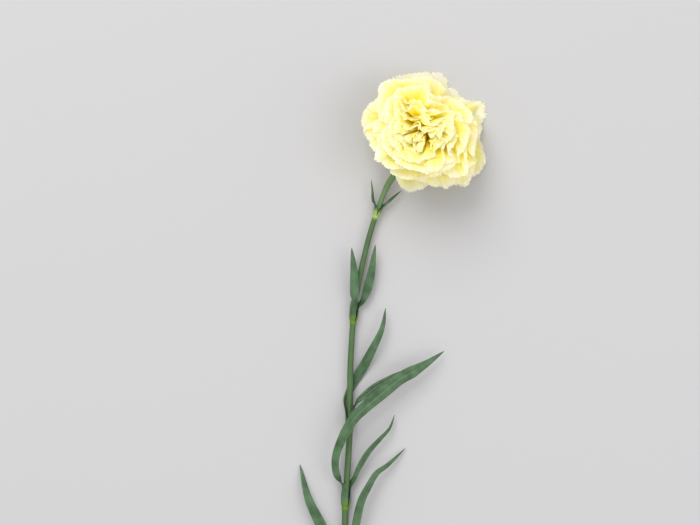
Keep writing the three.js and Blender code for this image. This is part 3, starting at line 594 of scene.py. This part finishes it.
# The bracts: short broad scales in two crossed pairs, pressed round the foot of the calyx and grown together
# at their feet. Each ends in a small point. They have the same rind as the calyx.
bract_count = 4
bract_length = 9.5
bract_notch = 3
bract_thickness = 0.8
bract_flare = 0.9
bract_sides = 160
bract_rows = 12
bract_foot = 0.2
bract_rounding = 1.6  # up to this height they thicken from their feet, and part from the calyx
rising = np.linspace(bract_foot, bract_notch, bract_rows)
row_heights = np.concatenate([rising, rising[::-1]])[:, None]
is_outside = np.repeat([1, 0], bract_rows)[:, None]
turns = np.broadcast_to(np.arange(bract_sides) / bract_sides, (2 * bract_rows, bract_sides))
point = pointed_rim(turns + 0.5 / bract_count, bract_count, 0.8)
lift = point * ease((row_heights - 0.6) / (bract_notch - 0.6))
tops = mix(row_heights, bract_length, lift)
thin = bract_thickness * mix(1, 0.35, lift) * mix(0.15, 1, np.sqrt(ease((tops + 0.1) / bract_rounding)))
away = 0.05 + (gap + 0.05) * ease(tops / bract_rounding)
radii = calyx_radius(tops) + away + is_outside * thin + bract_flare * lift ** 2
calyx_bracts = lathe_piece(
    "calyx_bracts", radii, tops, turns, head_frame(calyx_rise), calyx_base, calyx_skin,
    {"height": tops / bract_length, "sepal": turns}, is_hoop=True,
)
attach(calyx_bracts, "root")
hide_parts("epicalyx_bracts")

# ================================================================ the bloom
# 36 petals, each a thin fan on a narrow claw that goes down into the calyx. The outer ones lie back and
# droop, the inner ones stand and crowd, and all share one ruffle, for they grew pressed together in the bud.

petal_count = 36
bloom_seed = 23
golden_angle = math.radians(137.508)
bloom_rise = math.radians(60)
mouth = calyx_base + head_direction(calyx_rise) * (calyx_length + 2)
outer_length = 39.6
inner_length = 34
outer_half_width = 23
inner_half_width = 15
petals_in_a_ring = 9
petal_sheet = 0.24 * mm


def draw(k):
    """A repeatable random share from 0 to 1 for whole number k."""
    wide = math.sin(k * 12.9898 + bloom_seed * 78.233) * 43758.5453
    return wide - math.floor(wide)


def petal_points(name, first, count):
    """One point for each petal of a ring, with that petal's place in the head, its length and its width."""
    chosen = range(first, first + count)
    layers = [(k + 0.5) / petal_count for k in chosen]
    return start_mesh(name, np.zeros((count, 3)), [], {
        "layer": layers,
        "turn": [k * golden_angle % (2 * math.pi) + (draw(k) - 0.5) * 0.35 for k in chosen],
        "length": [mix(outer_length, inner_length, s) * mix(0.93, 1.06, draw(k + 100)) * mm
                   for k, s in zip(chosen, layers)],
        "half_width": [mix(outer_half_width, inner_half_width, s) * mix(0.9, 1.1, draw(k + 200)) * mm
                       for k, s in zip(chosen, layers)],
        "tilt": [(draw(k + 300) - 0.5) * math.radians(14) for k in chosen],
        "phase": [draw(k + 400) * 10 for k in chosen],
    })


# A petal: soft, thin and matt, and it lets light through. Pale cream at the edge and deep yellow down towards
# the claw, sooner on the crowded inner petals, partly its own yellow and partly painted shade for the bloom's
# saturated hollows. It has hair-fine veins that fan out from the claw.
petal_skin, tree, shader = new_material("fresh petal", Roughness=0.62, IOR=1.38, Sheen_Weight=0.15)
along, across, layer = (
    add(tree, "ShaderNodeAttribute", attribute_name=label).outputs["Fac"]
    for label in ("along", "across", "layer")
)
veins_on_a_petal = 46
vein_place = add(tree, "ShaderNodeCombineXYZ", [across, along, layer])
vein_place = add(tree, "ShaderNodeMapping", {"Vector": vein_place, "Scale": (veins_on_a_petal / 2, 1.6, 90)})
veins = add(tree, "ShaderNodeTexNoise", {"Vector": vein_place, "Scale": 1.0, "Detail": 2.0})
streak = add(tree, RANGE, [veins, 0.3, 0.7, -0.06, 0.06])
depth_and_painted_shade = add(tree, MATH, [along, streak], operation="ADD")
crowded_painted_shade = add(tree, MATH, [layer, 2.0], operation="POWER")
depth_and_painted_shade = add(tree, MATH, [crowded_painted_shade, -0.07, depth_and_painted_shade], operation="MULTIPLY_ADD")
# The ramp's deep yellow low on each petal and on the inner petals is partly painted shade of the hollows.
shades = add(tree, "ShaderNodeValToRGB", [depth_and_painted_shade])
set_stops(shades.color_ramp, [
    (0.0, "#F4EA1C"), (0.25, "#FEEE00"), (0.5, "#FDF010"),
    (0.66, "#FCF45A"), (0.82, "#FDF9AE"), (0.97, "#FFFDEE"),
])
bump = add(tree, "ShaderNodeBump", {"Strength": 0.2, "Distance": 0.15 * mm, "Height": veins})
tree.links.new(shades.outputs[0], shader.inputs["Base Color"])
tree.links.new(bump.outputs[0], shader.inputs["Normal"])
glow = add(tree, "ShaderNodeBsdfTranslucent", {"Color": shades, "Normal": bump})
thin = add(tree, "ShaderNodeMixShader", [0.62, shader, glow])
tree.links.new(thin.outputs[0], tree.nodes["Material Output"].inputs["Surface"])

head_axes = Matrix(head_frame(bloom_rise).tolist()).transposed()
petal_sizes = {
    "Cells across": 150, "Cells along": 26, "Outer angle": math.radians(106), "Inner angle": math.radians(-2),
    "Outer bend": 8 * mm, "Inner bend": 30 * mm, "Claw ring": 5.6 * mm, "Hub": 0.6 * mm,
    "Turn back": 0.014 / mm, "Ruffle": 4.2 * mm, "Crimp": 0.35 * mm,
    "Crimp wave": 3.6 * mm, "Tooth": 1.1 * mm, "Tooth gap": 1.6 * mm, "Droop": 17.5 * mm,
    "Flare": 0.9, "Flare over": 30 * mm, "Nod": Vector((-14, -21, 0)) * mm, "Nod over": 34 * mm,
    "Reach": outer_length * mm, "Sway": 2.6 * mm, "Sway length": 6.2 * mm, "Fine sway": 0.45 * mm,
    "Fine sway length": 2.9 * mm,
    "Head turn": Vector(head_axes.to_euler()), "Head at": Vector((mouth + laid_at) * mm),
    "Half sheet": petal_sheet / 2, "Petal": petal_skin,
}
petal_tree, given = new_tree("petals on their claws", petal_sizes)
tree = petal_tree

# One flat petal as a grid: across runs from -1 to 1, and along from 0 at the claw to 1 at the edge.
columns = add(tree, MATH, [given["Cells across"], 1.0], operation="ADD")
rows = add(tree, MATH, [given["Cells along"], 1.0], operation="ADD")
grid = add(tree, "GeometryNodeMeshGrid", [2.0, 1.0, columns, rows])
flat = add(tree, "ShaderNodeSeparateXYZ", [add(tree, "GeometryNodeInputPosition")])
raised = add(tree, MATH, [flat.outputs["Y"], 0.5], operation="ADD")
raised = add(tree, MATH, [raised, 0.8], operation="POWER")
for label, value in [("across", flat.outputs["X"]), ("along", raised)]:
    grid = add(tree, "GeometryNodeStoreNamedAttribute", [grid, None, label, value], data_type="FLOAT")
petals = add(tree, "GeometryNodeInstanceOnPoints", {"Points": given["Geometry"], "Instance": grid})
petals = add(tree, "GeometryNodeRealizeInstances", [petals])
across, along, layer, turn, length, half_width, tilt, phase = (
    add(tree, NAMED, [label], data_type="FLOAT").outputs[0]
    for label in ("across", "along", "layer", "turn", "length", "half_width", "tilt", "phase")
)

# How far up the petal a point lies, after the toothed edge is cut.
outer = add(tree, MATH, [1.0, layer], operation="SUBTRACT")
square = add(tree, MATH, [across, across], operation="MULTIPLY")
rounded = add(tree, MATH, [square, along], operation="MULTIPLY")
rounded = add(tree, MATH, [rounded, -0.16, 1.0], operation="MULTIPLY_ADD")
up_petal = add(tree, MATH, [length, along], operation="MULTIPLY")
up_petal = add(tree, MATH, [up_petal, rounded], operation="MULTIPLY")
teeth_wide = add(tree, MATH, [half_width, given["Tooth gap"]], operation="DIVIDE")
on_edge = add(tree, MATH, [across, teeth_wide, phase], operation="MULTIPLY_ADD")
notch = add(tree, MATH, [on_edge], operation="ROUND")
from_notch = add(tree, MATH, [on_edge, notch], operation="SUBTRACT")
from_notch = add(tree, MATH, [from_notch], operation="ABSOLUTE")
cut_here = add(tree, RANGE, [from_notch, 0.0, 0.5, 1.0, 0.0], interpolation_type="SMOOTHSTEP")
deep = add(tree, "ShaderNodeTexWhiteNoise", {"W": notch}, noise_dimensions="1D")
deep = add(tree, RANGE, [deep.outputs["Value"], 0.0, 1.0, 0.25, 1.0])
at_edge = add(tree, MATH, [along, 12.0], operation="POWER")
cut_here = add(tree, MATH, [cut_here, deep], operation="MULTIPLY")
cut_here = add(tree, MATH, [cut_here, at_edge], operation="MULTIPLY")
cut_here = add(tree, MATH, [cut_here, given["Tooth"]], operation="MULTIPLY")
up_petal = add(tree, MATH, [up_petal, cut_here], operation="SUBTRACT")

# The petal leaves the claw upwards, bends over the rim of the calyx, then runs on straight or turns back.
late = add(tree, MATH, [layer, 0.85], operation="POWER")
bend_angle = add(tree, RANGE, [late, 0.0, 1.0, given["Outer angle"], given["Inner angle"]])
bend_angle = add(tree, MATH, [bend_angle, tilt], operation="ADD")
start_angle = add(tree, MATH, [outer, 0.1], operation="MULTIPLY")
bend_angle = add(tree, MATH, [bend_angle, start_angle], operation="MAXIMUM")
bend_radius = add(tree, RANGE, [layer, 0.0, 1.0, given["Outer bend"], given["Inner bend"]])
bend_by = add(tree, MATH, [bend_angle, start_angle], operation="SUBTRACT")
bend_length = add(tree, MATH, [bend_by, bend_radius], operation="MULTIPLY")
bent = add(tree, MATH, [up_petal, bend_length], operation="MINIMUM")
angle = add(tree, MATH, [bent, bend_radius], operation="DIVIDE")
angle = add(tree, MATH, [angle, start_angle], operation="ADD")
rest = add(tree, MATH, [up_petal, bent], operation="SUBTRACT")
turn_back = add(tree, MATH, [outer, 2.0], operation="POWER")
turn_back = add(tree, MATH, [turn_back, given["Turn back"]], operation="MULTIPLY")
turn_back = add(tree, MATH, [turn_back, rest], operation="MULTIPLY")
inner = add(tree, MATH, [outer, outer], operation="MULTIPLY")
inner = add(tree, MATH, [1.0, inner], operation="SUBTRACT")
upright = add(tree, MATH, [layer, 6.0], operation="POWER")
upright = add(tree, MATH, [upright, -0.8, 1.0], operation="MULTIPLY_ADD")
inner = add(tree, MATH, [inner, upright], operation="MULTIPLY")
flare = add(tree, MATH, [rest, given["Flare over"]], operation="DIVIDE")
flare = add(tree, MATH, [flare, 2.0], operation="POWER")
flare = add(tree, MATH, [flare, inner], operation="MULTIPLY")
flare = add(tree, MATH, [flare, given["Flare"]], operation="MULTIPLY")
half_way = add(tree, MATH, [turn_back, 0.5, angle], operation="MULTIPLY_ADD")
half_way = add(tree, MATH, [flare, 0.34, half_way], operation="MULTIPLY_ADD")
turn_back = add(tree, MATH, [turn_back, flare], operation="ADD")
lean = add(tree, MATH, [turn_back, angle], operation="ADD")
claw_ring = add(tree, MATH, [outer, 0.7], operation="POWER")
claw_ring = add(tree, MATH, [claw_ring, given["Claw ring"], given["Hub"]], operation="MULTIPLY_ADD")
start_sine, sine, half_sine = (add(tree, MATH, [a], operation="SINE") for a in (start_angle, angle, half_way))
start_cosine, cosine, half_cosine = (
    add(tree, MATH, [a], operation="COSINE") for a in (start_angle, angle, half_way)
)
bent_out = add(tree, MATH, [start_cosine, cosine], operation="SUBTRACT")
bent_up = add(tree, MATH, [sine, start_sine], operation="SUBTRACT")
radius = add(tree, MATH, [bend_radius, bent_out, claw_ring], operation="MULTIPLY_ADD")
radius = add(tree, MATH, [rest, half_sine, radius], operation="MULTIPLY_ADD")
height = add(tree, MATH, [bend_radius, bent_up], operation="MULTIPLY")
height = add(tree, MATH, [rest, half_cosine, height], operation="MULTIPLY_ADD")

# The fan's width, as a turn round the axis.
widening = add(tree, MATH, [along, 1.15], operation="MULTIPLY")
widening = add(tree, MATH, [widening, 1.0], operation="MINIMUM")
widening = add(tree, MATH, [widening, math.pi / 2], operation="MULTIPLY")
widening = add(tree, MATH, [widening], operation="SINE")
widening = add(tree, MATH, [widening, 0.88, 0.12], operation="MULTIPLY_ADD")
aside = add(tree, MATH, [half_width, across], operation="MULTIPLY")
aside = add(tree, MATH, [aside, widening], operation="MULTIPLY")
hub_reach = add(tree, MATH, [radius, radius, (7 * mm) ** 2], operation="MULTIPLY_ADD")
hub_reach = add(tree, MATH, [hub_reach], operation="SQRT")
aside = add(tree, MATH, [aside, hub_reach], operation="DIVIDE")
turn = add(tree, MATH, [aside, turn], operation="ADD")

# The shared ruffle: three waves round the axis, and a fine crimp at the edge that is each petal's own.
ruffle = None
for waves, drift, offset, outer_share, inner_share in [
    (8.0, 5.2, 0.6, 0.4, 0.75), (13.0, -7.4, 1.9, 0.6, 0.15), (21.0, 9.1, 4.1, 0.4, 0.0),
]:
    wave = add(tree, MATH, [turn, waves, offset], operation="MULTIPLY_ADD")
    wave = add(tree, MATH, [layer, drift, wave], operation="MULTIPLY_ADD")
    wave = add(tree, MATH, [wave], operation="SINE")
    weight = add(tree, RANGE, [layer, 0.0, 1.0, outer_share, inner_share])
    ruffle = add(tree, MATH, [wave, weight, ruffle or 0.0], operation="MULTIPLY_ADD")
grown = add(tree, MATH, [along, 1.6], operation="POWER")
ruffle = add(tree, MATH, [ruffle, grown], operation="MULTIPLY")
ruffle = add(tree, MATH, [ruffle, given["Ruffle"]], operation="MULTIPLY")
ruffle = add(tree, MATH, [ruffle, add(tree, RANGE, [layer, 0.0, 1.0, 1.0, 0.6])], operation="MULTIPLY")
crimps_wide = add(tree, MATH, [half_width, given["Crimp wave"]], operation="DIVIDE")
crimp = add(tree, MATH, [across, crimps_wide], operation="MULTIPLY")
crimp = add(tree, MATH, [crimp, 2 * math.pi, phase], operation="MULTIPLY_ADD")
crimp = add(tree, MATH, [crimp], operation="SINE")
crimp = add(tree, MATH, [crimp, add(tree, MATH, [along, 5.0], operation="POWER")], operation="MULTIPLY")
ruffle = add(tree, MATH, [crimp, given["Crimp"], ruffle], operation="MULTIPLY_ADD")
radius = add(tree, MATH, [ruffle, add(tree, MATH, [lean], operation="COSINE"), radius],
             operation="MULTIPLY_ADD")
falling = add(tree, MATH, [ruffle, add(tree, MATH, [lean], operation="SINE")], operation="MULTIPLY")
height = add(tree, MATH, [height, falling], operation="SUBTRACT")

# Round the head's axis, then laid with the flower: drooping by its own weight and stopped by the surface.
level = add(tree, MATH, [radius, add(tree, MATH, [turn], operation="COSINE")], operation="MULTIPLY")
level_2 = add(tree, MATH, [radius, add(tree, MATH, [turn], operation="SINE")], operation="MULTIPLY")
swaying = add(tree, MATH, [along, 1.8], operation="MULTIPLY", use_clamp=True)
swayed = []
for own, first, second, shift, fine_shift in [
    (level, level_2, height, 0.7, 2.1), (level_2, level, height, 2.9, 4.4),
    (height, level, level_2, 1.1, 5.2),
]:
    total = own
    for size, offset, slip in [("Sway", shift, 0.7), ("Fine sway", fine_shift, -0.6)]:
        wave = add(tree, MATH, [second, slip, first], operation="MULTIPLY_ADD")
        wave = add(tree, MATH, [wave, given[size + " length"]], operation="DIVIDE")
        wave = add(tree, MATH, [add(tree, MATH, [wave, offset], operation="ADD")], operation="SINE")
        wave = add(tree, MATH, [wave, swaying], operation="MULTIPLY")
        total = add(tree, MATH, [wave, given[size], total], operation="MULTIPLY_ADD")
    swayed.append(total)
place = add(tree, "ShaderNodeCombineXYZ", swayed)
place = add(tree, "ShaderNodeVectorRotate", {"Vector": place, "Rotation": given["Head turn"]},
            rotation_type="EULER_XYZ")
nod = add(tree, MATH, [swayed[2], given["Nod over"]], operation="DIVIDE")
nod = add(tree, MATH, [add(tree, MATH, [nod, 0.0], operation="MAXIMUM"), 2.0], operation="POWER")
nod = add(tree, VECTOR, {0: given["Nod"], "Scale": nod}, operation="SCALE")
place = add(tree, VECTOR, [place, nod], operation="ADD")
out = add(tree, VECTOR, [place], operation="LENGTH").outputs["Value"]
out = add(tree, MATH, [out, given["Reach"]], operation="DIVIDE")
out = add(tree, MATH, [out, 1.0], operation="MINIMUM")
weight = add(tree, MATH, [out, outer], operation="MULTIPLY")
weight = add(tree, MATH, [weight, 2.0], operation="POWER")
weight = add(tree, MATH, [weight, given["Droop"]], operation="MULTIPLY")
parts = add(tree, "ShaderNodeSeparateXYZ", [add(tree, VECTOR, [place, given["Head at"]], operation="ADD")])
fallen = add(tree, MATH, [parts.outputs["Z"], weight], operation="SUBTRACT")
under = add(tree, MATH, [given["Half sheet"], fallen], operation="SUBTRACT")
under = add(tree, MATH, [under, 0.0], operation="MAXIMUM")
on_surface = add(tree, MATH, [fallen, under], operation="ADD")
outwards = add(tree, VECTOR, [place, (1, 1, 0)], operation="MULTIPLY")
outwards = add(tree, VECTOR, [outwards], operation="NORMALIZE")
outwards = add(tree, VECTOR, {0: outwards, "Scale": under}, operation="SCALE")
place = add(tree, "ShaderNodeCombineXYZ", [parts.outputs["X"], parts.outputs["Y"], on_surface])
place = add(tree, VECTOR, [place, outwards], operation="ADD")
petals = add(tree, "GeometryNodeSetPosition", {"Geometry": petals, "Position": place})
petals = add(tree, "GeometryNodeSetShadeSmooth", [petals])
petals = add(tree, "GeometryNodeRealizeInstances", [petals])
petals = add(tree, "GeometryNodeSetMaterial", {"Geometry": petals, "Material": given["Petal"]})
add(tree, "NodeGroupOutput", [petals])

for ring in range(petal_count // petals_in_a_ring):
    name = f"petal_ring_{ring + 1}"
    points = petal_points(name + "_points", ring * petals_in_a_ring, petals_in_a_ring)
    piece = grow(name, points, petal_tree, petal_sizes, thickness=petal_sheet)
    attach(piece, "root")
    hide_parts("bloom")

# The imported claws: the narrow feet of all the petals, pressed together into one ribbed bundle that fills the
# calyx and swells into a small dome over its mouth. Deep yellow, as the petals are at their feet, and partly
# painted shade for the deep heart of the bloom.
claw_ribs = 40
claw_sides = 240
claw_heights = np.array([calyx_floor + gap, 9, 13, 17, 20, 24, calyx_length])
claw_rows = np.append(claw_heights, [calyx_length + 2.4, calyx_length + 3])
claw_radii = np.append(calyx_radius(claw_heights) - calyx_wall - gap - 0.1, [3.2, 0.6])
dome_rows = np.array([-3, -2.6, -1, 1, 3, 5, 7, 9, 11, 13, 15, 16.4, 17])
dome_radii = np.array([0.6, 2.6, 4.6, 5.2, 5.8, 7.6, 9, 9.2, 9, 7.8, 6, 3.2, 0.6])
for name, rise, base, heights, profile in [
    ("claws_in_calyx", calyx_rise, calyx_base, claw_rows, claw_radii),
    ("claws_over_mouth", bloom_rise, mouth, dome_rows, dome_radii),
]:
    turns = np.broadcast_to(np.arange(claw_sides) / claw_sides, (len(heights), claw_sides))
    ribbed = profile[:, None] * (1 + 0.05 * np.cos(turns * 2 * math.pi * claw_ribs) - 0.05)
    levels = np.broadcast_to(heights[:, None], turns.shape)
    numbers = {"along": np.full(turns.shape, 0.08), "across": turns * 2 - 1, "layer": np.ones(turns.shape)}
    piece = lathe_piece(name, ribbed, levels, turns, head_frame(rise), base, petal_skin, numbers)
    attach(piece, "root")
    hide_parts("bloom")

# ================================================================ the surface, the light and the camera
# A plain grey surface in a bright pale room, with a big soft light beyond the bloom on the left, and a weaker
# one past the cut end on the right. The camera looks straight down.

floor_half = 3.0
floor_corners = [(x * floor_half, y * floor_half, 0) for x, y in ((-1, -1), (1, -1), (1, 1), (-1, 1))]
floor_mesh = bpy.data.meshes.new("floor")
floor_mesh.from_pydata(floor_corners, [], [(0, 1, 2, 3)])
floor = bpy.data.objects.new("floor", floor_mesh)
bpy.context.scene.collection.objects.link(floor)
paper, tree, shader = new_material("matt grey paper", Roughness=0.9)
shader.inputs["Base Color"].default_value = colour("#AEADAD")
floor_mesh.materials.append(paper)

room = bpy.data.worlds.new("room")
room.use_nodes = True
sky = room.node_tree.nodes["Background"].inputs
sky["Color"].default_value = colour("#F6F6F9")
sky["Strength"].default_value = 0.98
bpy.context.scene.world = room


def soft_light(name, place, target, size, watts):
    """A square light panel of that size in metres, turned to the target."""
    panel = bpy.data.lights.new(name, "AREA")
    panel.shape = "SQUARE"
    panel.size = size
    panel.energy = watts
    light = bpy.data.objects.new(name, panel)
    light.location = place
    light.rotation_euler = (Vector(target) - Vector(place)).to_track_quat("-Z", "Y").to_euler()
    bpy.context.scene.collection.objects.link(light)


flower_middle = Vector((0, 0.08, 0.02))
soft_light("key_light", (-0.7, 1.3, 1.7), flower_middle, 1.4, 36)
soft_light("fill_light", (1.2, -0.4, 1.6), flower_middle, 1.4, 12)

# The photograph's middle lies at view_middle, and its pixels measure this much at the height of the flower.
pixel = 0.6 * mm
photograph_width = 700
view_middle = Vector((laid_at[0] - 13.2, laid_at[1] + 84.7, 0)) * mm
view_width = photograph_width * pixel
view_height = 20 * mm
camera_distance = 1.6
sensor_width = 36
lens = bpy.data.cameras.new("camera")
lens.sensor_width = sensor_width
lens.lens = sensor_width * camera_distance / view_width
camera = bpy.data.objects.new("camera", lens)
camera.location = view_middle + Vector((0, 0, view_height + camera_distance))
bpy.context.scene.collection.objects.link(camera)
bpy.context.scene.camera = camera
bpy.context.scene.view_settings.view_transform = "Standard"
cycles = bpy.context.scene.cycles
cycles.diffuse_bounces = 12  # light goes from petal to petal many times
cycles.transmission_bounces = 16
cycles.max_bounces = 16
